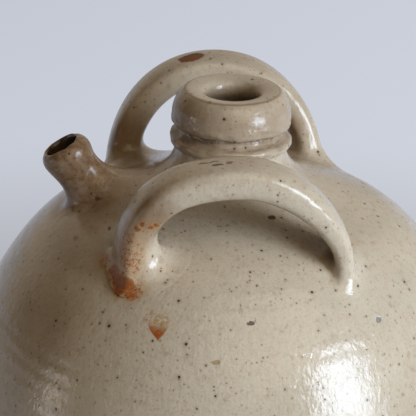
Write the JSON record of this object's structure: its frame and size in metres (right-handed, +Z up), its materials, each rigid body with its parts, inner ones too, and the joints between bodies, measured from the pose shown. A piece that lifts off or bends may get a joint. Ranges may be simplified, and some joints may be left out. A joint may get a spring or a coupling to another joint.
{
  "type": "stoneware jug",
  "caption": "Round-bellied glazed stoneware jug with a thick-rimmed filling neck, a stubby leaning pouring spout and strap handles arching before and behind the neck.",
  "frame": {"origin": "centre of the flat foot, on the axis of the body and neck", "axes": "+Z up along the body's axis, -X towards the pouring spout, -Y towards the front handle"},
  "size_m": [0.292, 0.292, 0.3501],
  "materials": {
    "body_glaze": "glossy warm grey-beige glaze with iron specks",
    "neck_glaze": "glossy glaze, browner at the rim, groove and ring",
    "spout_glaze": "glossy brown-grey glaze, worn at the lip",
    "strap_glaze": "glossy beige glaze with rust flushes",
    "coil_glaze": "glossy beige glaze, run thin over smoothed clay"
  },
  "bodies": {
    "root": {"lower_body": "body_glaze", "upper_body": "body_glaze", "neck": "neck_glaze", "neck_luting_coil": "coil_glaze", "spout": "spout_glaze", "spout_luting_coil": "coil_glaze", "front_handle": "strap_glaze", "front_left_foot_collar": "coil_glaze", "front_right_foot_collar": "coil_glaze", "rear_handle": "strap_glaze", "rear_left_foot_collar": "coil_glaze", "rear_right_foot_collar": "coil_glaze"}
  },
  "joints": []
}
